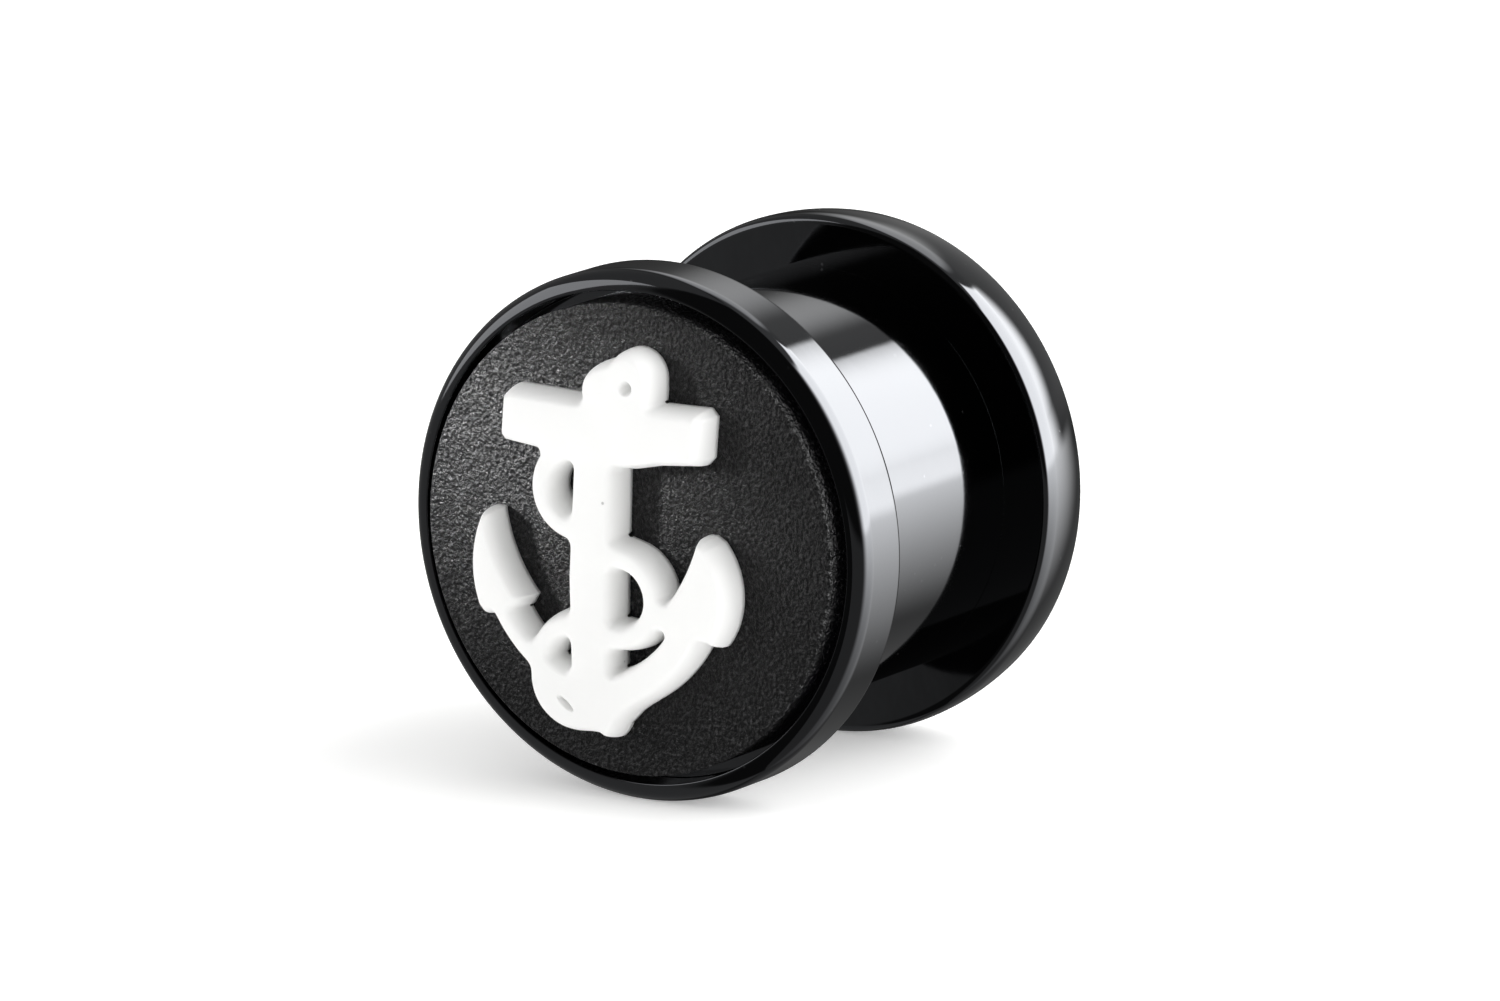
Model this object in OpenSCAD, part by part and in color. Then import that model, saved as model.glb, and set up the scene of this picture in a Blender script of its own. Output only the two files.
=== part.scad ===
// Ear gauge plug: a turned steel barrel between two equal flanges. The front flange
// holds a rubber disc with a raised anchor and rope, and the back flange comes off.
// The plug lies on its two rims, with its front facing -Y.

/* [Flanges] */
// Outer diameter of both flanges
flange_d = 15; // [14.6:0.1:17]
// Thickness of the front flange
front_t = 2.0; // [1.8:0.1:3]
// Thickness of the back flange
back_t = 2.3; // [1.9:0.1:3]
// Radius that rounds a rim over to its outer side
rim_round = 0.52; // [0.3:0.02:0.7]
// Width of the flat left on the front lip
lip_flat = 0.04; // [0.02:0.01:0.2]
// Radius on the rims' inner edges
edge_round = 0.2; // [0.1:0.05:0.3]
// How far behind its inner face the crowned back rim is widest
crown_y = 0.5; // [0.4:0.05:0.6]
// Radius of the crown in front of its widest place
crown_front_r = 1.2; // [1:0.1:1.5]
// Radius of the crown behind its widest place
crown_back_r = 6; // [4:0.5:9]
// Depth of the narrow flat that each rim rests on
rest_flat = 0.03; // [0.01:0.01:0.05]

/* [Barrel] */
// Diameter of the barrel that goes through the lobe
barrel_d = 12; // [10.5:0.1:12]
// Free length between the two flanges
wear_l = 7.7; // [7:0.1:12]
// Diameter of the hidden stub on the back flange
stub_d = 8.7; // [7:0.1:8.7]
// Length of the stub
stub_l = 3.0; // [2:0.1:3.4]
// Radial clearance of the stub in its bore
stub_clear = 0.05; // [0.02:0.01:0.09]
// Depth of the blind bore in the barrel
bore_l = 6.4; // [5:0.1:6.4]

/* [Face disc] */
// Depth of the recess in the front flange
recess_l = 1.0; // [0.6:0.1:1.2]
// Diameter of the rubber disc
disc_d = 13.3; // [12.8:0.1:13.4]
// How far the disc stands out of the front lip
disc_proud = 0.34; // [0.16:0.02:0.4]
// Radius on the disc's front edge
disc_round = 0.1; // [0.05:0.05:0.15]

/* [Anchor] */
// Height of the raised anchor above the disc
relief_h = 1.0; // [0.6:0.1:1.2]
// Run of the soft moulded edge, seen from the front
relief_edge = 0.3; // [0.2:0.02:0.32]
// Width of the rope
rope_w = 0.84; // [0.8:0.02:0.9]
// Radius of the mouth of the small pit at the top of the rope
pit_r = 0.2; // [0.1:0.02:0.24]

/* [Hidden] */
$fn = 96;

steel = "#18181a";
flange_r = flange_d / 2;
axis_z = flange_r - rest_flat;
lip_r = flange_r - rim_round;
recess_r = lip_r - lip_flat;
barrel_r = barrel_d / 2;
stub_r = stub_d / 2;
bore_r = stub_r + stub_clear;
stub_chamfer = 0.3;
disc_r = disc_d / 2;
face_y = front_t + wear_l;
lip_y = (disc_proud + relief_h - face_y - back_t) / 2;

// The back rim's widest place, as [radius, distance behind the inner face], and the middles of
// its arcs, from the small round on the inner edge over the crown to the round on the back edge
widest = [flange_r, crown_y];
crown_front_mid = widest - [crown_front_r, 0];
crown_back_mid = widest - [crown_back_r, 0];
edge_mid = [
    crown_front_mid[0] + sqrt((crown_front_r - edge_round) ^ 2 - (crown_y - edge_round) ^ 2),
    edge_round
];
back_edge_mid = [
    crown_back_mid[0] + sqrt((crown_back_r - rim_round) ^ 2 - (back_t - rim_round - crown_y) ^ 2),
    back_t - rim_round
];

// The anchor is drawn in x and z from a point close to the disc's middle, with angles from +X
// to +Z. Its outline is where the soft edge meets the disc.
drawing_at = [0.08, 0.03];
shank_x = -0.75;
shank = [[-1.57, -1], [-1.48, -4.6], [0, -4.6], [0.02, -1], [0.15, 3.3], [-1.34, 3.3]];
stock = [
    [-3.62, 2.47], [-2.4, 2.35], [-0.7, 2.1], [0.55, 2.13], [1.4, 2.32], [2.66, 2.45],
    [2.87, 2.67], [2.97, 3.84], [2.76, 4.06], [-0.5, 4], [-3.5, 4.08], [-3.73, 3.86],
    [-3.82, 2.7]
];
crown_tip = [
    [-2.4, -4.4], [-1.2, -5.45], [-0.5, -5.47], [-0.32, -5.56], [-0.14, -5.56], [0.01, -5.4],
    [0.16, -5.12], [0.51, -4.75], [0.95, -4.4], [0.6, -4], [-1.4, -4], [-2.4, -3.6]
];

// The two arms, as [centre x, centre z, middle radius, width, first angle, last angle]
arms = [
    [-0.19, -0.25, 4.03, 0.8, 205, 275],
    [-1.33, -0.25, 4.18, 1.16, 262, 340],
];

// The crescents at the arms' ends, as [outer circle x, z, radius, inner circle x, z, radius,
// corners of the region that they fill]
fluke_left = [
    [-5.2, -1.6], [-4.3, -2.56], [-3.15, -2.17], [-2.93, -1.8],
    [-3.85, 0.2], [-4.07, 0.5], [-4.38, 0.5], [-5.2, -0.1]
];
fluke_right = [
    [0.9, -1.86], [4, -2.78], [4, -0.45], [3.3, 0.3], [2.95, 0.5], [2.6, 0.5], [0.9, -1.2]
];
flukes = [
    [-1.44, -1.03, 3.36, 0.24, 1.1, 4.36, fluke_left],
    [1.52, -1.17, 2.27, -2.66, 2.08, 5.55, fluke_right],
];

// The rope's loops, each a circle that may be drawn out upwards on one side of the shank, as
// [side, centre x, lower centre z, upper centre z, middle radius]
rope_loops = [
    [-1, -1.24, 1.42, 1.42, 1.13],
    [1, 0.165, -1.48, -1.48, 1.13],
    [-1, -1.3, -3.95, -3.55, 1.13],
];

// Straight stretches where the rope crosses the shank, as [x, z] of their two ends
rope_crossings = [
    [[-1.24, 0.29], [0.165, -0.35]],
    [[0.165, -2.61], [-1.3, -2.42]],
];

// Round ends of the rope at the top of the shank, and where it meets the right fluke, as
// [centre x, centre z, radius]
rope_ends = [
    [-0.33, 4.28, 0.8],
    [-0.05, 4.42, 0.76],
    [0.5, 4.72, 0.81],
    [0.54, 4.35, 0.77],
    [0.48, 4.05, 0.76],
    [1.42, -1.88, 0.45],
];

// Small pit at the top of the rope, and the slit left inside its lowest loop, by their middles
pit_at = [0.51, 4.49];
pit_floor_r = 0.04;
pit_depth = 0.6;
slit_at = [-1.5, -4.64];
slit_angle = -36;
slit_l = 0.6;
slit_w = 0.16;
slit_depth = 0.5;

// Layers that make up the anchor's soft edge
edge_layers = 6;
layer_lap = 0.05;

// A shape drawn with its axis up is laid with that axis along +Y, from a distance behind the lip
module laid(y) {
    translate([0, lip_y + y, axis_z])
        rotate([-90, 0, 0])
            children();
}

// A rim's lowest sliver is cut away at Z = 0, so that it rests on a flat and doesn't roll
module rested() {
    difference() {
        children();
        translate([-1, lip_y - 1, -1])
            cube([2, face_y + back_t + 2, 1]);
    }
}

// Half sections are drawn as [radius, distance along the axis]
module barrel_section() {
    difference() {
        union() {
            translate([0, rim_round])
                square([flange_r, front_t - rim_round - edge_round]);
            square([lip_r, rim_round]);
            square([flange_r - edge_round, front_t]);
            translate([lip_r, rim_round])
                circle(r = rim_round);
            translate([flange_r - edge_round, front_t - edge_round])
                circle(r = edge_round);
            square([barrel_r, face_y]);
        }
        square([recess_r, recess_l]);
        translate([0, face_y - bore_l])
            square([bore_r, bore_l]);
    }
}

// One turned piece: the front flange with its recess, and the barrel with its blind bore
module barrel_with_front_flange() {
    color(steel)
        rested()
            laid(0)
                rotate_extrude()
                    barrel_section();
}

module disc_section() {
    translate([0, disc_round])
        square([disc_r, disc_proud + recess_l - disc_round]);
    square([disc_r - disc_round, disc_round]);
    translate([disc_r - disc_round, disc_round])
        circle(r = disc_round);
}

// Rubber disc, seated on the floor of the recess
module face_disc() {
    color("#2b2b2c")
        laid(-disc_proud)
            rotate_extrude()
                disc_section();
}

function unit(v) = v / norm(v);

// The slice of a disc between the directions from its middle to two points
module slice(mid, radius, first, second) {
    intersection() {
        translate(mid)
            circle(r = radius);
        polygon([mid, mid + 2 * radius * unit(first - mid), mid + 2 * radius * unit(second - mid)]);
    }
}

// Half section of the back flange from its inner face, with its crowned rim, and of its stub
module back_section() {
    square([edge_mid[0], back_t - rim_round]);
    square([back_edge_mid[0], back_t]);
    translate(edge_mid)
        circle(r = edge_round);
    slice(crown_front_mid, crown_front_r, edge_mid, widest);
    slice(crown_back_mid, crown_back_r, widest, back_edge_mid);
    translate(back_edge_mid)
        circle(r = rim_round);
    polygon([
        [0, -stub_l],
        [stub_r - stub_chamfer, -stub_l],
        [stub_r, stub_chamfer - stub_l],
        [stub_r, 1],
        [0, 1]
    ]);
}

// The back flange and the plain stub that holds it in the barrel
module back_flange() {
    color(steel)
        rested()
            laid(face_y)
                rotate_extrude()
                    back_section();
}

// The polygon's corners, listed counter-clockwise, moved inwards so that each side moves by inset
function shrunk(points, inset) = [
    for (i = [0:len(points) - 1])
        let (
            before = unit(points[i] - points[(i + len(points) - 1) % len(points)]),
            after = unit(points[(i + 1) % len(points)] - points[i]),
            sum = [-before[1] - after[1], before[0] + after[0]]
        )
        points[i] + inset * sum / (1 + before * after)
];

module band(radius, width) {
    difference() {
        circle(r = radius + width / 2);
        circle(r = radius - width / 2);
    }
}

// Each part of the outline is drawn narrower by inset on every side that shows
module arm(row, inset) {
    reach = 2 * (row[2] + row[3]);
    angles = [row[4], (row[4] + row[5]) / 2, row[5]];
    translate([row[0], row[1]])
        intersection() {
            band(row[2], row[3] - 2 * inset);
            polygon(concat([[0, 0]], [for (a = angles) reach * [cos(a), sin(a)]]));
        }
}

module fluke(row, inset) {
    difference() {
        intersection() {
            translate([row[0], row[1]])
                circle(r = row[2] - inset);
            polygon(shrunk(row[6], inset));
        }
        translate([row[3], row[4]])
            circle(r = row[5] + inset);
    }
}

module drawn_out_circle(radius, row) {
    translate([row[1], row[2]])
        circle(r = radius);
    if (row[3] > row[2]) {
        translate([row[1], row[3]])
            circle(r = radius);
        translate([row[1] - radius, row[2]])
            square([2 * radius, row[3] - row[2]]);
    }
}

module rope_loop(row, inset) {
    side_w = 6;
    intersection() {
        difference() {
            drawn_out_circle(row[4] + rope_w / 2 - inset, row);
            drawn_out_circle(row[4] - rope_w / 2 + inset, row);
        }
        translate([shank_x + (row[0] - 1) * side_w / 2, -side_w])
            square([side_w, 2 * side_w]);
    }
}

module rope_crossing(ends, inset) {
    run = ends[1] - ends[0];
    translate(ends[0])
        rotate(atan2(run[1], run[0]))
            translate([0, inset - rope_w / 2])
                square([norm(run), rope_w - 2 * inset]);
}

module anchor_outline(inset) {
    polygon(shrunk(shank, inset));
    polygon(shrunk(stock, inset));
    polygon(shrunk(crown_tip, inset));
    for (row = arms)
        arm(row, inset);
    for (row = flukes)
        fluke(row, inset);
    for (row = rope_loops)
        rope_loop(row, inset);
    for (ends = rope_crossings)
        rope_crossing(ends, inset);
    for (end = rope_ends)
        translate([end[0], end[1]])
            circle(r = end[2] - inset);
}

// One layer of the soft edge: its side stands where a quarter of an oval has come to halfway up
// the layer, and it laps a little into the layer below
module soft_layer(number) {
    first = 90 * number / edge_layers;
    last = 90 * (number + 1) / edge_layers;
    bottom = max(0, relief_h * sin(first) - layer_lap);
    translate([0, 0, bottom])
        linear_extrude(relief_h * sin(last) - bottom)
            anchor_outline(relief_edge * (1 - cos((first + last) / 2)));
}

// Anchor and rope, raised from the disc as one moulding
module anchor_relief() {
    color("#f4f4f2")
        translate([drawing_at[0], lip_y - disc_proud, axis_z + drawing_at[1]])
            rotate([90, 0, 0])
                difference() {
                    union() {
                        for (number = [0:edge_layers - 1])
                            soft_layer(number);
                    }
                    translate([pit_at[0], pit_at[1], relief_h - pit_depth])
                        cylinder(r1 = pit_floor_r, r2 = pit_r, h = pit_depth);
                    translate([slit_at[0], slit_at[1], relief_h - slit_depth])
                        rotate([0, 0, slit_angle])
                            translate([-slit_l / 2, -slit_w / 2, 0])
                                cube([slit_l, slit_w, slit_depth]);
                }
}

barrel_with_front_flange();
face_disc();
anchor_relief();
back_flange();
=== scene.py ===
import math

import bpy
import numpy as np
from mathutils import Matrix, Vector, geometry


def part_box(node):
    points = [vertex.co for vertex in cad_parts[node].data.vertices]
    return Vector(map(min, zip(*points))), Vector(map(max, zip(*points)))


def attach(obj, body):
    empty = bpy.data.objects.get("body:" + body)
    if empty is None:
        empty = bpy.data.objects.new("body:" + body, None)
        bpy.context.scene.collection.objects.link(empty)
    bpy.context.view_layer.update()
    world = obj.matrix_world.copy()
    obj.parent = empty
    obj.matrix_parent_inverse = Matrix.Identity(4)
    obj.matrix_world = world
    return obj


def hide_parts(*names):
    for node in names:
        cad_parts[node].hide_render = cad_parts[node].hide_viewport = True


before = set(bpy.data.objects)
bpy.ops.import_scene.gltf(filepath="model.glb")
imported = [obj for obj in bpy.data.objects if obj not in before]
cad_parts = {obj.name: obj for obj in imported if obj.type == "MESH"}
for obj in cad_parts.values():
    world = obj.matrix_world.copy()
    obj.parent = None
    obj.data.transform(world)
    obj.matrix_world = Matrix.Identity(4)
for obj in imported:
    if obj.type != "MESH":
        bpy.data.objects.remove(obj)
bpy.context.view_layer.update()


# The view
# A long lens looks at the front of the plug from its right side and a little above. The plug
# lies on its two rims, and the picture is framed on the middle of the front lip. The camera's
# distances from there are in rim radii.
MM = 0.001
AXIS_HEIGHT = 7.47
RIM_RADIUS = 7.5
LIP_CENTRE = Vector((0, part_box("barrel_with_front_flange")[0].y, AXIS_HEIGHT * MM))
VIEW_BACK = Vector((0.5315, -0.8185, 0.2181))
VIEW_RIGHT = Vector((0.8387, 0.5446, 0.0))
VIEW_UP = Vector((-0.1188, 0.1829, 0.9759))
CAMERA_BACK = 39.46
CAMERA_RIGHT = 0.4266
CAMERA_UP = 0.1395

view_camera = bpy.data.cameras.new("long_lens")
view_camera.sensor_width = 36
view_camera.lens = 257.3
view_camera.clip_start = 0.01
view_camera.clip_end = 10
camera = bpy.data.objects.new("camera", view_camera)
bpy.context.scene.collection.objects.link(camera)
turn = Matrix((VIEW_RIGHT.normalized(), VIEW_UP.normalized(), VIEW_BACK.normalized())).transposed()
camera.matrix_world = turn.to_4x4()
offset = CAMERA_BACK * VIEW_BACK + CAMERA_RIGHT * VIEW_RIGHT + CAMERA_UP * VIEW_UP
camera.location = LIP_CENTRE + RIM_RADIUS * MM * offset
bpy.context.scene.camera = camera
bpy.context.scene.view_settings.view_transform = "Standard"


def colour(sheet_hex):
    """A colour as it looks on screen, as the linear values that a shader takes."""
    parts = [int(sheet_hex[i:i + 2], 16) / 255 for i in (1, 3, 5)]
    return tuple(p / 12.92 if p <= 0.04045 else ((p + 0.055) / 1.055) ** 2.4 for p in parts) + (1,)


def add(tree, kind, sockets=None, **settings):
    """Adds one node. A socket's value is a number or colour, or the output that feeds it."""
    made = tree.nodes.new(kind)
    for name, value in settings.items():
        setattr(made, name, value)
    for name, value in (sockets or {}).items():
        if isinstance(value, bpy.types.NodeSocket):
            tree.links.new(value, made.inputs[name])
        else:
            made.inputs[name].default_value = value
    return made


# The studio
# The polished rims mirror a tall window behind on the right, a pale table under it, a strip
# light overhead and a softbox at the front left, with the rest of the room dark. Matt surfaces
# get a plain soft light, and a small lamp at the left brings out the disc's grain.
PLAIN_LIGHT = 0.59
WINDOW_SHARE = 0.32
ROOM_LIGHT = 0.03
WINDOW_LIGHT = 8.3
TABLE_LIGHT = 5.9
TABLE_FADE = 22
STRIP_LIGHT = 1.7
studio = bpy.data.worlds.new("studio")
studio.use_nodes = True
bpy.context.scene.world = studio
sky = studio.node_tree
sky.nodes.clear()
direction = add(sky, "ShaderNodeSeparateXYZ", {0: add(sky, "ShaderNodeTexCoord").outputs["Generated"]})


def reckon(operation, *values):
    """One sum of numbers and outputs."""
    return add(sky, "ShaderNodeMath", dict(enumerate(values)), operation=operation).outputs[0]


def beyond(value, limit, softness):
    """1 past the limit and 0 before it, or the other way round where the softness is negative."""
    return add(sky, "ShaderNodeMapRange", {
        "Value": value, "From Min": limit - softness, "From Max": limit + softness,
    }, interpolation_type="SMOOTHSTEP").outputs[0]


def panel(strength, *edges):
    """Light where all the edges let it through."""
    lit = strength
    for edge in edges:
        lit = reckon("MULTIPLY", lit, edge)
    return lit


# Azimuths are in degrees from +Y towards +X, and elevations in degrees above the table. Every
# panel below is bounded by limits of these two, or by slants that mix them.
azimuth = reckon("DEGREES", reckon("ARCTAN2", direction.outputs["X"], direction.outputs["Y"]))
elevation = reckon("DEGREES", reckon("ARCSINE", direction.outputs["Z"]))
right_end = beyond(azimuth, 99, -17)
top_slant = reckon("SUBTRACT", azimuth, elevation)
above_sill = reckon("MAXIMUM", reckon("SUBTRACT", elevation, 8), 0)
left_slant = reckon("MULTIPLY_ADD", above_sill, 0.85, azimuth)
window = panel(
    WINDOW_LIGHT, beyond(left_slant, 29, 8), right_end, beyond(top_slant, -27.8, 1.5),
    beyond(elevation, 60, -2.5), beyond(elevation, -0.5, 2),
)
fall = reckon("EXPONENT", reckon("DIVIDE", elevation, TABLE_FADE))
table = panel(TABLE_LIGHT, beyond(azimuth, 24, 16), right_end, beyond(elevation, -0.5, -2), fall)
strip = panel(
    STRIP_LIGHT, beyond(azimuth, -39, 6), beyond(top_slant, -44, -6),
    beyond(elevation, 28, 12), beyond(elevation, 68, -8),
)
haze = panel(0.3, beyond(azimuth, -30, 8), beyond(azimuth, 118, -8), beyond(elevation, 0, 8))
left_wall = panel(0.2, beyond(azimuth, -148, 2), beyond(azimuth, -45, -12))
near_table = panel(0.14, beyond(elevation, -5, -3), beyond(azimuth, -28, 10))
mirrored = ROOM_LIGHT
for lit in (window, table, strip, haze, left_wall, near_table):
    mirrored = reckon("ADD", lit, mirrored)

# Mirrors see the panels, matt surfaces an even light with a share of the panels, and the
# camera plain white
path = add(sky, "ShaderNodeLightPath")
on_matt = reckon("MULTIPLY_ADD", mirrored, WINDOW_SHARE, PLAIN_LIGHT)
sharper = reckon("SUBTRACT", mirrored, on_matt)
strength = reckon("MULTIPLY_ADD", sharper, path.outputs["Is Glossy Ray"], on_matt)
strength = reckon("MAXIMUM", strength, path.outputs["Is Camera Ray"])
light = add(sky, "ShaderNodeBackground", {"Color": (1, 1, 1, 1), "Strength": strength})
add(sky, "ShaderNodeOutputWorld", {"Surface": light.outputs[0]})


def hang(name, lamp, azimuth, elevation, distance, aim):
    """A lamp in a direction from the front lip, turned towards a point."""
    hung = bpy.data.objects.new(name, lamp)
    bpy.context.scene.collection.objects.link(hung)
    az, el = math.radians(azimuth), math.radians(elevation)
    towards = Vector((math.sin(az) * math.cos(el), math.cos(az) * math.cos(el), math.sin(el)))
    hung.location = LIP_CENTRE + distance * towards
    hung.rotation_euler = (hung.location - aim).to_track_quat("Z", "Y").to_euler()
    return hung


softbox = bpy.data.lights.new("softbox", "AREA")
softbox.shape = "RECTANGLE"
softbox.size = 0.32
softbox.size_y = 0.24
softbox.energy = 0.42
hang("softbox", softbox, -122, 17, 0.4, LIP_CENTRE)

# The grain lamp is aimed at the disc's upper left, and lights the disc alone
LAMP_AIM = LIP_CENTRE + Vector((-0.0052, 0, 0.003))
grain_lamp = bpy.data.lights.new("grain_lamp", "SPOT")
grain_lamp.shadow_soft_size = 0.003
grain_lamp.spot_size = math.radians(11.5)
grain_lamp.spot_blend = 1.0
grain_lamp.energy = 0.55
disc_lamp = hang("grain_lamp", grain_lamp, -130, 14, 0.06, LAMP_AIM)
grained_piece = bpy.data.collections.new("lit_by_grain_lamp")
disc_lamp.light_linking.receiver_collection = grained_piece

# White paper, with a glow that keeps it as pale as the air behind it. The rims mirror the
# studio's table in its place.
FLOOR_RADIUS = 0.6
FLOOR_CORNERS = 96
floor_mesh = bpy.data.meshes.new("floor")
angles = np.linspace(0, 2 * math.pi, FLOOR_CORNERS + 1)[:-1]
ring = [(FLOOR_RADIUS * math.cos(a), FLOOR_RADIUS * math.sin(a), 0) for a in angles]
floor_mesh.from_pydata(ring, [], [list(range(FLOOR_CORNERS))])
floor = bpy.data.objects.new("floor", floor_mesh)
bpy.context.scene.collection.objects.link(floor)
floor.visible_glossy = False
paper = bpy.data.materials.new("matt_white_paper")
paper.use_nodes = True
paper_shader = paper.node_tree.nodes["Principled BSDF"]
paper_shader.inputs["Base Color"].default_value = colour("#fbfbfa")
paper_shader.inputs["Roughness"].default_value = 0.9
paper_shader.inputs["Emission Color"].default_value = (1, 1, 1, 1)
paper_shader.inputs["Emission Strength"].default_value = 0.3
floor_mesh.materials.append(paper)


# Barrel with front flange
# One piece turned from steel bar, with a recess for the rubber disc and a blind bore. It is
# polished and then coated black, so that it mirrors the studio like black glass.
LIP_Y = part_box("barrel_with_front_flange")[0].y / MM
FRONT_THICKNESS = 2.0
FRONT_TO_BACK = 9.7
BARREL_RADIUS = 6.0
RIM_ROUND = 0.52
EDGE_ROUND = 0.2
RECESS_RADIUS = 6.94
RECESS_DEPTH = 1.0
BORE_RADIUS = 4.4
BORE_DEPTH = 6.4
CUTS_ROUND = 256


def turned_corner(middle, radius, first, last, steps):
    """Points of a rounded corner, as (radius, distance behind the lip), by angles in degrees."""
    angles = np.radians(np.linspace(first, last, steps))
    return [(middle[0] + radius * math.cos(a), middle[1] + radius * math.sin(a)) for a in angles]


def with_close_points(section, near=0.03):
    """The section with a point close to each end of its long straight runs, so that flats shade flat."""
    out = []
    for a, b in zip(section, section[1:]):
        a, b = np.array(a, float), np.array(b, float)
        length = np.linalg.norm(b - a)
        out.append(a)
        if length > 5 * near:
            out += [a + (b - a) * near / length, b - (b - a) * near / length]
    return out + [np.array(section[-1], float)]


def lathe_tree():
    """Turns a half section of (radius, y, 0) points round an axis along Y, flat where it rests."""
    tree = bpy.data.node_groups.new("lathe", "GeometryNodeTree")
    face = tree.interface
    face.new_socket(name="Half section", in_out="INPUT", socket_type="NodeSocketGeometry")
    face.new_socket(name="Cuts round", in_out="INPUT", socket_type="NodeSocketInt")
    face.new_socket(name="Axis height", in_out="INPUT", socket_type="NodeSocketFloat")
    face.new_socket(name="Finish", in_out="INPUT", socket_type="NodeSocketMaterial")
    face.new_socket(name="Turned", in_out="OUTPUT", socket_type="NodeSocketGeometry")
    given = add(tree, "NodeGroupInput").outputs
    count = add(tree, "GeometryNodeAttributeDomainSize", {0: given["Half section"]}).outputs["Point Count"]
    rows = add(tree, "ShaderNodeMath", {0: given["Cuts round"], 1: 1}, operation="ADD").outputs[0]
    sheet = add(tree, "GeometryNodeMeshGrid", {
        "Size X": 1, "Size Y": 1, "Vertices X": count, "Vertices Y": rows,
    })
    place = add(tree, "ShaderNodeSeparateXYZ", {0: add(tree, "GeometryNodeInputPosition").outputs[0]})
    along = add(tree, "ShaderNodeMath", {0: place.outputs["X"], 1: 0.5}, operation="ADD")
    last = add(tree, "ShaderNodeMath", {0: count, 1: 1}, operation="SUBTRACT")
    number = add(tree, "ShaderNodeMath", {0: along.outputs[0], 1: last.outputs[0]}, operation="MULTIPLY")
    number = add(tree, "ShaderNodeMath", {0: number.outputs[0]}, operation="ROUND")
    angle = add(tree, "ShaderNodeMath", {0: place.outputs["Y"], 1: 2 * math.pi}, operation="MULTIPLY")
    point = add(tree, "GeometryNodeSampleIndex", {
        "Geometry": given["Half section"], "Index": number.outputs[0],
    }, data_type="FLOAT_VECTOR")
    tree.links.new(add(tree, "GeometryNodeInputPosition").outputs[0], point.inputs["Value"])
    drawn = add(tree, "ShaderNodeSeparateXYZ", {0: point.outputs["Value"]})
    cosine = add(tree, "ShaderNodeMath", {0: angle.outputs[0]}, operation="COSINE")
    sine = add(tree, "ShaderNodeMath", {0: angle.outputs[0]}, operation="SINE")
    x = add(tree, "ShaderNodeMath", {0: drawn.outputs["X"], 1: cosine.outputs[0]}, operation="MULTIPLY")
    z = add(tree, "ShaderNodeMath", {
        0: drawn.outputs["X"], 1: sine.outputs[0], 2: given["Axis height"],
    }, operation="MULTIPLY_ADD")
    rested = add(tree, "ShaderNodeMath", {0: z.outputs[0], 1: 0.0}, operation="MAXIMUM")
    spun = add(tree, "ShaderNodeCombineXYZ", {
        "X": x.outputs[0], "Y": drawn.outputs["Y"], "Z": rested.outputs[0],
    })
    bent = add(tree, "GeometryNodeSetPosition", {
        "Geometry": sheet.outputs["Mesh"], "Position": spun.outputs[0],
    })
    closed = add(tree, "GeometryNodeMergeByDistance", {"Geometry": bent.outputs[0], "Distance": 0.5e-6})
    smooth = add(tree, "GeometryNodeSetShadeSmooth", {"Geometry": closed.outputs[0], "Shade Smooth": True})
    real = add(tree, "GeometryNodeRealizeInstances", {"Geometry": smooth.outputs[0]})
    finished = add(tree, "GeometryNodeSetMaterial", {
        "Geometry": real.outputs[0], "Material": given["Finish"],
    })
    add(tree, "NodeGroupOutput", {"Turned": finished.outputs[0]})
    return tree


def turned_piece(name, section, finish):
    """A turned piece from its half section, listed from the axis round to the axis, in mm behind the lip."""
    points = [(r * MM, (LIP_Y + y) * MM, 0) for r, y in with_close_points(section)]
    drawn = bpy.data.meshes.new(name + "_section")
    drawn.from_pydata(points, [(i, i + 1) for i in range(len(points) - 1)], [])
    blank = bpy.data.objects.new(name + "_blank", drawn)
    bpy.context.scene.collection.objects.link(blank)
    modifier = blank.modifiers.new("lathe", "NODES")
    modifier.node_group = LATHE
    given = {"Cuts round": CUTS_ROUND, "Axis height": AXIS_HEIGHT * MM, "Finish": finish}
    for socket in LATHE.interface.items_tree:
        if socket.in_out == "INPUT" and socket.name in given:
            modifier[socket.identifier] = given[socket.name]
    ready = bpy.context.evaluated_depsgraph_get()
    mesh = bpy.data.meshes.new_from_object(blank.evaluated_get(ready))
    bpy.data.objects.remove(blank)
    mesh.name = name
    piece = bpy.data.objects.new(name, mesh)
    bpy.context.scene.collection.objects.link(piece)
    return piece


def new_finish(name):
    """A new material, with its node tree, its shader, and the place on the object in mm."""
    finish = bpy.data.materials.new(name)
    finish.use_nodes = True
    tree = finish.node_tree
    place = add(tree, "ShaderNodeMapping", {
        "Vector": add(tree, "ShaderNodeTexCoord").outputs["Object"], "Scale": (1000, 1000, 1000),
    }).outputs[0]
    return finish, tree, tree.nodes["Principled BSDF"], place


def blended(tree, share, first, second):
    """The output that goes from the first colour to the second with the share."""
    mix = add(tree, "ShaderNodeMix", {"Factor": share, 6: first, 7: second}, data_type="RGBA")
    return mix.outputs[2]


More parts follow.
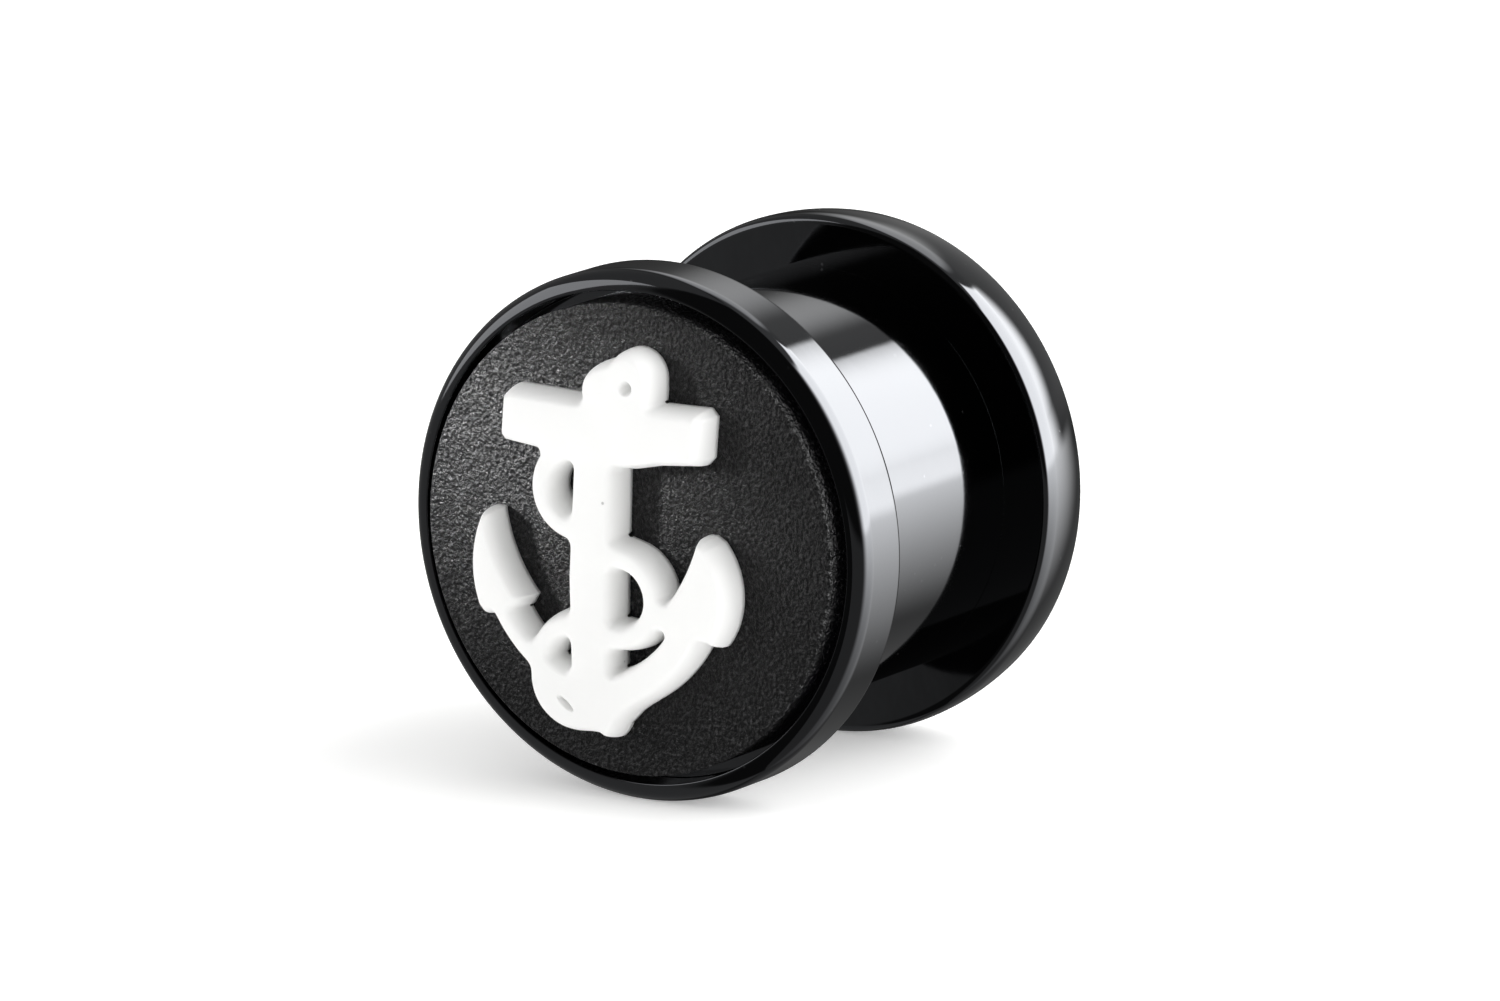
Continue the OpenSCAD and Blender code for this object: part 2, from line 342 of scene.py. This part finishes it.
def black_coated_steel():
    """Black coat over polished steel: sharp dark reflections, softer in places, with a few specks."""
    finish, tree, shader, place = new_finish("polished_black_coated_steel")
    shader.inputs["Metallic"].default_value = 1.0
    cloud = add(tree, "ShaderNodeTexNoise", {"Vector": place, "Scale": 0.45, "Detail": 4, "Roughness": 0.6})
    rough = add(tree, "ShaderNodeMapRange", {
        "Value": cloud.outputs[0], "From Min": 0.3, "From Max": 0.7, "To Min": 0.035, "To Max": 0.085,
    })
    cells = add(tree, "ShaderNodeTexVoronoi", {"Vector": place, "Scale": 2.2, "Randomness": 1.0})
    near = add(tree, "ShaderNodeMath", {0: cells.outputs["Distance"], 1: 0.09}, operation="LESS_THAN")
    pick = add(tree, "ShaderNodeSeparateColor", {0: cells.outputs["Color"]})
    few = add(tree, "ShaderNodeMath", {0: pick.outputs[0], 1: 0.72}, operation="GREATER_THAN")
    speck = add(tree, "ShaderNodeMath", {0: near.outputs[0], 1: few.outputs[0]}, operation="MULTIPLY")
    shade = blended(tree, speck.outputs[0], colour("#535456"), colour("#5e5f61"))
    tree.links.new(shade, shader.inputs["Base Color"])
    dull = add(tree, "ShaderNodeMath", {
        0: speck.outputs[0], 1: 0.12, 2: rough.outputs[0],
    }, operation="MULTIPLY_ADD")
    tree.links.new(dull.outputs[0], shader.inputs["Roughness"])
    ripple = add(tree, "ShaderNodeTexNoise", {"Vector": place, "Scale": 1.1, "Detail": 2})
    bump = add(tree, "ShaderNodeBump", {"Height": ripple.outputs[0], "Strength": 0.04, "Distance": 0.00003})
    tree.links.new(bump.outputs[0], shader.inputs["Normal"])
    return finish


LATHE = lathe_tree()
BLACK_STEEL = black_coated_steel()
lip_r = RIM_RADIUS - RIM_ROUND
front_section = (
    [(0, RECESS_DEPTH), (RECESS_RADIUS, RECESS_DEPTH), (RECESS_RADIUS, 0)]
    + turned_corner((lip_r, RIM_ROUND), RIM_ROUND, -90, 0, 25)
    + turned_corner((RIM_RADIUS - EDGE_ROUND, FRONT_THICKNESS - EDGE_ROUND), EDGE_ROUND, 0, 90, 13)
    + [
        (BARREL_RADIUS, FRONT_THICKNESS),
        (BARREL_RADIUS, FRONT_TO_BACK),
        (BORE_RADIUS, FRONT_TO_BACK),
        (BORE_RADIUS, FRONT_TO_BACK - BORE_DEPTH),
        (0, FRONT_TO_BACK - BORE_DEPTH),
    ]
)
barrel = turned_piece("turned_barrel_and_front_flange", front_section, BLACK_STEEL)
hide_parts("barrel_with_front_flange")
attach(barrel, "front")


# Face disc
# A moulded black rubber disc, bonded to the floor of the recess and a little proud of the lip.
# Its face has the fine grain of a blasted mould.
DISC_RADIUS = 6.65
DISC_PROUD = 0.34
DISC_ROUND = 0.1


def moulded_black_rubber():
    """Black rubber from a blasted mould: matt, with a bumped grain whose peaks are painted lighter as glints
    of the side light.
    """
    finish, tree, shader, place = new_finish("moulded_black_rubber")
    shader.inputs["Specular IOR Level"].default_value = 0.35
    # The real grain is finer than 0.1 mm, and is drawn as coarse as it needs to show
    grain = add(tree, "ShaderNodeTexNoise", {"Vector": place, "Scale": 9.0, "Detail": 2, "Roughness": 0.6})
    pits = add(tree, "ShaderNodeTexVoronoi", {"Vector": place, "Scale": 7.0, "Randomness": 1.0})
    patch = add(tree, "ShaderNodeTexNoise", {"Vector": place, "Scale": 0.35, "Detail": 2})
    height = add(tree, "ShaderNodeMath", {
        0: pits.outputs["Distance"], 1: 0.4, 2: grain.outputs[0],
    }, operation="MULTIPLY_ADD")
    bump = add(tree, "ShaderNodeBump", {"Height": height.outputs[0], "Strength": 1.0, "Distance": 0.00012})
    tree.links.new(bump.outputs[0], shader.inputs["Normal"])
    shade = blended(tree, patch.outputs[0], colour("#09090a"), colour("#0f0f10"))
    # Painted glints: the grain's peaks are coloured lighter, standing in for specks of side light caught by
    # the grain
    painted_glint = add(tree, "ShaderNodeMapRange", {
        "Value": grain.outputs[0], "From Min": 0.53, "From Max": 0.7,
    }, interpolation_type="SMOOTHSTEP")
    shade = blended(tree, painted_glint.outputs[0], shade, colour("#3c3c3d"))
    tree.links.new(shade, shader.inputs["Base Color"])
    rough = add(tree, "ShaderNodeMapRange", {
        "Value": grain.outputs[0], "From Min": 0.3, "From Max": 0.7, "To Min": 0.32, "To Max": 0.26,
    })
    tree.links.new(rough.outputs[0], shader.inputs["Roughness"])
    return finish


BLACK_RUBBER = moulded_black_rubber()
disc_section = (
    [(0, -DISC_PROUD)]
    + turned_corner((DISC_RADIUS - DISC_ROUND, DISC_ROUND - DISC_PROUD), DISC_ROUND, -90, 0, 9)
    + [(DISC_RADIUS, RECESS_DEPTH), (0, RECESS_DEPTH)]
)
disc = turned_piece("grained_rubber_disc", disc_section, BLACK_RUBBER)
grained_piece.objects.link(disc)
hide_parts("face_disc")
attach(disc, "front")


# Anchor with rope
# One white rubber moulding that stands 1 mm out of the disc. Its edges are soft all round, as
# a quarter of an oval, and it has a small pit at the top and a slit in the lowest loop.
RELIEF_HEIGHT = 1.0
RELIEF_EDGE = 0.3
ROPE_WIDTH = 0.84
SHANK_X = -0.75
SHANK = [(-1.57, -1), (-1.48, -4.6), (0, -4.6), (0.02, -1), (0.15, 3.3), (-1.34, 3.3)]
STOCK = [
    (-3.62, 2.47), (-2.4, 2.35), (-0.7, 2.1), (0.55, 2.13), (1.4, 2.32), (2.66, 2.45),
    (2.87, 2.67), (2.97, 3.84), (2.76, 4.06), (-0.5, 4), (-3.5, 4.08), (-3.73, 3.86), (-3.82, 2.7),
]
CROWN_TIP = [
    (-2.4, -4.4), (-1.2, -5.45), (-0.5, -5.47), (-0.32, -5.56), (-0.14, -5.56), (0.01, -5.4),
    (0.16, -5.12), (0.51, -4.75), (0.95, -4.4), (0.6, -4), (-1.4, -4), (-2.4, -3.6),
]
FLUKE_LEFT = [
    (-5.2, -1.6), (-4.3, -2.56), (-3.15, -2.17), (-2.93, -1.8),
    (-3.85, 0.2), (-4.07, 0.5), (-4.38, 0.5), (-5.2, -0.1),
]
FLUKE_RIGHT = [(0.9, -1.86), (4, -2.78), (4, -0.45), (3.3, 0.3), (2.95, 0.5), (2.6, 0.5), (0.9, -1.2)]
ARMS = [(-0.19, -0.25, 4.03, 0.8, 205, 275), (-1.33, -0.25, 4.18, 1.16, 262, 340)]
FLUKES = [
    (-1.44, -1.03, 3.36, 0.24, 1.1, 4.36, FLUKE_LEFT),
    (1.52, -1.17, 2.27, -2.66, 2.08, 5.55, FLUKE_RIGHT),
]
ROPE_LOOPS = [
    (-1, -1.24, 1.42, 1.42, 1.13),
    (1, 0.165, -1.48, -1.48, 1.13),
    (-1, -1.3, -3.95, -3.55, 1.13),
]
ROPE_CROSSINGS = [((-1.24, 0.29), (0.165, -0.35)), ((0.165, -2.61), (-1.3, -2.42))]
ROPE_ENDS = [
    (-0.33, 4.28, 0.8), (-0.05, 4.42, 0.76), (0.5, 4.72, 0.81), (0.54, 4.35, 0.77), (0.48, 4.05, 0.76),
    (1.42, -1.88, 0.45),
]
PIT_AT = (0.51, 4.49)
PIT_RINGS = [(0.25, 0), (0.23, 0), (0.2, 0.03), (0.17, 0.12), (0.04, 0.6)]
SLIT_AT = (-1.5, -4.64)
SLIT_ANGLE = -36
SLIT_RINGS = [(0.36, 0.13, 0), (0.34, 0.11, 0), (0.3, 0.09, 0.06), (0.22, 0.06, 0.5)]
DRAWING_AT = (0.08, 0.03)
RING_ANGLES = (0, 10, 22, 34, 46, 58, 70, 80, 90)
GRID = 0.05
GRID_X = (-5.1, 4.2, GRID)
GRID_Z = (-5.9, 5.9, GRID)
EDGE_BAND = (-0.7, 0.2)
BAND_SHARES = 60
SHORTEST_LOOP = 8
SOFT_JOIN = 0.035


def off_polygon(x, z, corners):
    """Distance outside a polygon with straight sides, negative inside."""
    nearest = np.full(x.shape, np.inf)
    inside = np.zeros(x.shape, bool)
    for (ax, az), (bx, bz) in zip(corners, corners[1:] + corners[:1]):
        ex, ez = bx - ax, bz - az
        along = np.clip(((x - ax) * ex + (z - az) * ez) / (ex * ex + ez * ez), 0, 1)
        nearest = np.minimum(nearest, np.hypot(x - ax - along * ex, z - az - along * ez))
        crosses = (az > z) != (bz > z)
        turn = (x - ax) * ez - (z - az) * ex
        inside ^= crosses & (turn < 0 if ez > 0 else turn > 0)
    return np.where(inside, -nearest, nearest)


def off_circle(x, z, cx, cz, radius):
    return np.hypot(x - cx, z - cz) - radius


def off_outline(x, z):
    """Roughly how far a point is outside the anchor's outline, with small fillets where its parts meet."""
    parts = [off_polygon(x, z, corners) for corners in (SHANK, STOCK, CROWN_TIP)]
    for cx, cz, radius, width, first, last in ARMS:
        around = np.abs(np.hypot(x - cx, z - cz) - radius) - width / 2
        reach = 2 * (radius + width)
        middle = math.radians((first + last) / 2)
        wedge = [(cx, cz)] + [
            (cx + reach * math.cos(a), cz + reach * math.sin(a))
            for a in (math.radians(first), middle, math.radians(last))
        ]
        parts.append(np.maximum(around, off_polygon(x, z, wedge)))
    for ox, oz, outer, ix, iz, inner, region in FLUKES:
        crescent = np.maximum(off_circle(x, z, ox, oz, outer), -off_circle(x, z, ix, iz, inner))
        parts.append(np.maximum(crescent, off_polygon(x, z, region)))
    for side, cx, low, high, radius in ROPE_LOOPS:
        nearest = np.clip(z, low, high)
        loop = np.abs(np.hypot(x - cx, z - nearest) - radius) - ROPE_WIDTH / 2
        parts.append(np.maximum(loop, -side * (x - SHANK_X)))
    for (ax, az), (bx, bz) in ROPE_CROSSINGS:
        length = math.hypot(bx - ax, bz - az)
        ux, uz = (bx - ax) / length, (bz - az) / length
        along = (x - ax) * ux + (z - az) * uz
        across = np.abs((z - az) * ux - (x - ax) * uz) - ROPE_WIDTH / 2
        parts.append(np.maximum(across, np.maximum(-along, along - length)))
    parts += [off_circle(x, z, *end) for end in ROPE_ENDS]
    least = np.minimum.reduce(parts)
    shares = sum(np.exp(-np.minimum(part - least, 1.5) / SOFT_JOIN) for part in parts)
    return least - SOFT_JOIN * np.log(shares)


def contours(xs, zs, values, level):
    """Closed lines where the values on a grid pass the level."""
    above = values > level
    points, joins = {}, {}

    def crossing(a, b):
        key = (a, b) if a < b else (b, a)
        if key not in points:
            va, vb = values[a], values[b]
            t = (level - va) / (vb - va)
            points[key] = (xs[a[0]] + t * (xs[b[0]] - xs[a[0]]), zs[a[1]] + t * (zs[b[1]] - zs[a[1]]))
        return key

    code = above[:-1, :-1].astype(int) + above[1:, :-1] + above[1:, 1:] + above[:-1, 1:]
    for i, j in zip(*np.nonzero((code > 0) & (code < 4))):
        corners = [(i, j), (i + 1, j), (i + 1, j + 1), (i, j + 1)]
        crossed = [
            crossing(corners[k], corners[(k + 1) % 4])
            for k in range(4) if above[corners[k]] != above[corners[(k + 1) % 4]]
        ]
        if len(crossed) == 4 and above[corners[0]] == (sum(values[c] for c in corners) / 4 > level):
            crossed = crossed[1:] + crossed[:1]
        for a, b in zip(crossed[::2], crossed[1::2]):
            joins.setdefault(a, []).append(b)
            joins.setdefault(b, []).append(a)
    loops, used = [], set()
    for start in joins:
        if start in used:
            continue
        loop, here, before = [], start, None
        while here not in used:
            used.add(here)
            loop.append(points[here])
            ahead = [k for k in joins[here] if k != before]
            before, here = here, ahead[0]
        loops.append(loop)
    return loops


def distance_inside(xs, zs):
    """How far each point of a grid is inside the anchor's outline, exact in a band along it."""
    off = off_outline(*np.meshgrid(xs, zs, indexing="ij"))
    edge = np.array([point for loop in contours(xs, zs, -off, 0.0) for point in loop])
    inside = -off
    band = np.argwhere((off > EDGE_BAND[0]) & (off < EDGE_BAND[1]))
    for share in np.array_split(band, BAND_SHARES):
        i, j = share.T
        gap = np.hypot(xs[i][:, None] - edge[:, 0], zs[j][:, None] - edge[:, 1]).min(1)
        inside[i, j] = np.where(off[i, j] < 0, gap, -gap)
    return inside


def relief_rings():
    """Closed lines with their heights: up the soft edge, and down into the pit and the slit."""
    xs, zs = np.arange(*GRID_X), np.arange(*GRID_Z)
    inside = distance_inside(xs, zs)
    rings = []
    for a in np.radians(RING_ANGLES):
        inset = max(RELIEF_EDGE * (1 - math.cos(a)), 0.001)
        loops = [loop for loop in contours(xs, zs, inside, inset) if len(loop) >= SHORTEST_LOOP]
        rings += [(loop, RELIEF_HEIGHT * math.sin(a)) for loop in loops]
    circle = [(math.cos(a), math.sin(a)) for a in np.linspace(0, 2 * math.pi, 25)[:-1]]
    for radius, depth in PIT_RINGS:
        pit = [(PIT_AT[0] + radius * x, PIT_AT[1] + radius * z) for x, z in circle]
        rings.append((pit, RELIEF_HEIGHT - depth))
    ux, uz = math.cos(math.radians(SLIT_ANGLE)), math.sin(math.radians(SLIT_ANGLE))
    for half_length, half_width, depth in SLIT_RINGS:
        oval = [(half_length * x, half_width * z) for x, z in circle]
        slit = [(SLIT_AT[0] + x * ux - z * uz, SLIT_AT[1] + x * uz + z * ux) for x, z in oval]
        rings.append((slit, RELIEF_HEIGHT - depth))
    return rings


def anchor_mesh(finish):
    """The relief as triangles between its rings, closed by a flat back that lies on the disc."""
    flat, edges, heights = [], [], []
    for loop, rise in relief_rings():
        first = len(flat)
        flat += loop
        heights += [rise] * len(loop)
        edges += [(first + k, first + (k + 1) % len(loop)) for k in range(len(loop))]
    made = geometry.delaunay_2d_cdt([Vector(p) for p in flat], edges, [], 0, 1e-6)
    place = np.array([tuple(v) for v in made[0]])
    rise = np.array([max(heights[k] for k in source) if source else 0.0 for source in made[3]])
    faces = np.array([tuple(f) for f in made[2]])
    middle = place[faces].mean(1)
    faces = faces[off_outline(middle[:, 0], middle[:, 1]) < 0.0]
    front_y = (LIP_Y - DISC_PROUD) * MM
    x, z = (place[:, 0] + DRAWING_AT[0]) * MM, (place[:, 1] + DRAWING_AT[1] + AXIS_HEIGHT) * MM
    top = np.c_[x, front_y - rise * MM, z]
    base = np.c_[x, np.full(len(place), front_y), z]
    low = rise <= 1e-9
    number = np.arange(len(place))
    under = np.where(low, number, number + len(place))
    solid = np.r_[faces, under[faces][:, ::-1]]
    used, index = np.unique(solid, return_inverse=True)
    mesh = bpy.data.meshes.new("anchor_with_rope")
    mesh.from_pydata(np.r_[top, base][used].tolist(), [], index.reshape(-1, 3).tolist())
    mesh.materials.append(finish)
    mesh.shade_smooth()
    return mesh


def white_rubber():
    """White rubber: matt, softly lit from inside, with a few grey spots painted as the shade in pinholes
    left by the mould.
    """
    finish, tree, shader, place = new_finish("moulded_white_rubber")
    shader.inputs["Subsurface Weight"].default_value = 0.15
    shader.inputs["Subsurface Radius"].default_value = (1, 1, 1)
    shader.inputs["Subsurface Scale"].default_value = 0.0003
    cloud = add(tree, "ShaderNodeTexNoise", {"Vector": place, "Scale": 2.5, "Detail": 4})
    rough = add(tree, "ShaderNodeMapRange", {
        "Value": cloud.outputs[0], "From Min": 0.3, "From Max": 0.7, "To Min": 0.5, "To Max": 0.65,
    })
    tree.links.new(rough.outputs[0], shader.inputs["Roughness"])
    cells = add(tree, "ShaderNodeTexVoronoi", {"Vector": place, "Scale": 0.9, "Randomness": 1.0})
    # Painted shade: small grey spots where pinholes would hold shade; the holes themselves are not modelled
    painted_pinhole_shade = add(tree, "ShaderNodeMapRange", {
        "Value": cells.outputs["Distance"], "From Min": 0.05, "From Max": 0.025,
    })
    shade = blended(tree, painted_pinhole_shade.outputs[0], colour("#f3f3f2"), colour("#b9b9b8"))
    tree.links.new(shade, shader.inputs["Base Color"])
    fine = add(tree, "ShaderNodeTexNoise", {"Vector": place, "Scale": 9.0, "Detail": 2})
    bump = add(tree, "ShaderNodeBump", {"Height": fine.outputs[0], "Strength": 0.15, "Distance": 0.00003})
    tree.links.new(bump.outputs[0], shader.inputs["Normal"])
    return finish


WHITE_RUBBER = white_rubber()
anchor = bpy.data.objects.new("anchor_with_rope", anchor_mesh(WHITE_RUBBER))
bpy.context.scene.collection.objects.link(anchor)
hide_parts("anchor_relief")
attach(anchor, "front")


# Back flange
# A second steel piece, turned, polished and coated as the first. Its rim is crowned towards the
# lobe, its back is plain, and its hidden stub holds it in the barrel's bore.
BACK_THICKNESS = 2.3
CROWN_WIDEST = (RIM_RADIUS, 0.5)
CROWN_FRONT_RADIUS = 1.2
CROWN_BACK_RADIUS = 6
STUB_RADIUS = 4.35
STUB_LENGTH = 3.0
STUB_CHAMFER = 0.3


def inner_circle(middle, radius, small, depth):
    """Middle, at a depth, of a small circle that touches a large one from inside, and the angle there."""
    reach = radius - small
    out = math.sqrt(reach ** 2 - (depth - middle[1]) ** 2)
    return (middle[0] + out, depth), math.degrees(math.atan2(depth - middle[1], out))


crown_front = (CROWN_WIDEST[0] - CROWN_FRONT_RADIUS, CROWN_WIDEST[1])
crown_back = (CROWN_WIDEST[0] - CROWN_BACK_RADIUS, CROWN_WIDEST[1])
inner_edge, lead_in = inner_circle(crown_front, CROWN_FRONT_RADIUS, EDGE_ROUND, EDGE_ROUND)
back_edge, lead_out = inner_circle(crown_back, CROWN_BACK_RADIUS, RIM_ROUND, BACK_THICKNESS - RIM_ROUND)
back_section = (
    [
        (0, -STUB_LENGTH),
        (STUB_RADIUS - STUB_CHAMFER, -STUB_LENGTH),
        (STUB_RADIUS, STUB_CHAMFER - STUB_LENGTH),
        (STUB_RADIUS, 0),
    ]
    + turned_corner(inner_edge, EDGE_ROUND, -90, lead_in, 9)
    + turned_corner(crown_front, CROWN_FRONT_RADIUS, lead_in, 0, 13)[1:]
    + turned_corner(crown_back, CROWN_BACK_RADIUS, 0, lead_out, 25)[1:]
    + turned_corner(back_edge, RIM_ROUND, lead_out, 90, 25)[1:]
    + [(0, BACK_THICKNESS)]
)
back_section = [(radius, depth + FRONT_TO_BACK) for radius, depth in back_section]
back = turned_piece("turned_back_flange", back_section, BLACK_STEEL)
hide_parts("back_flange")
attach(back, "back")
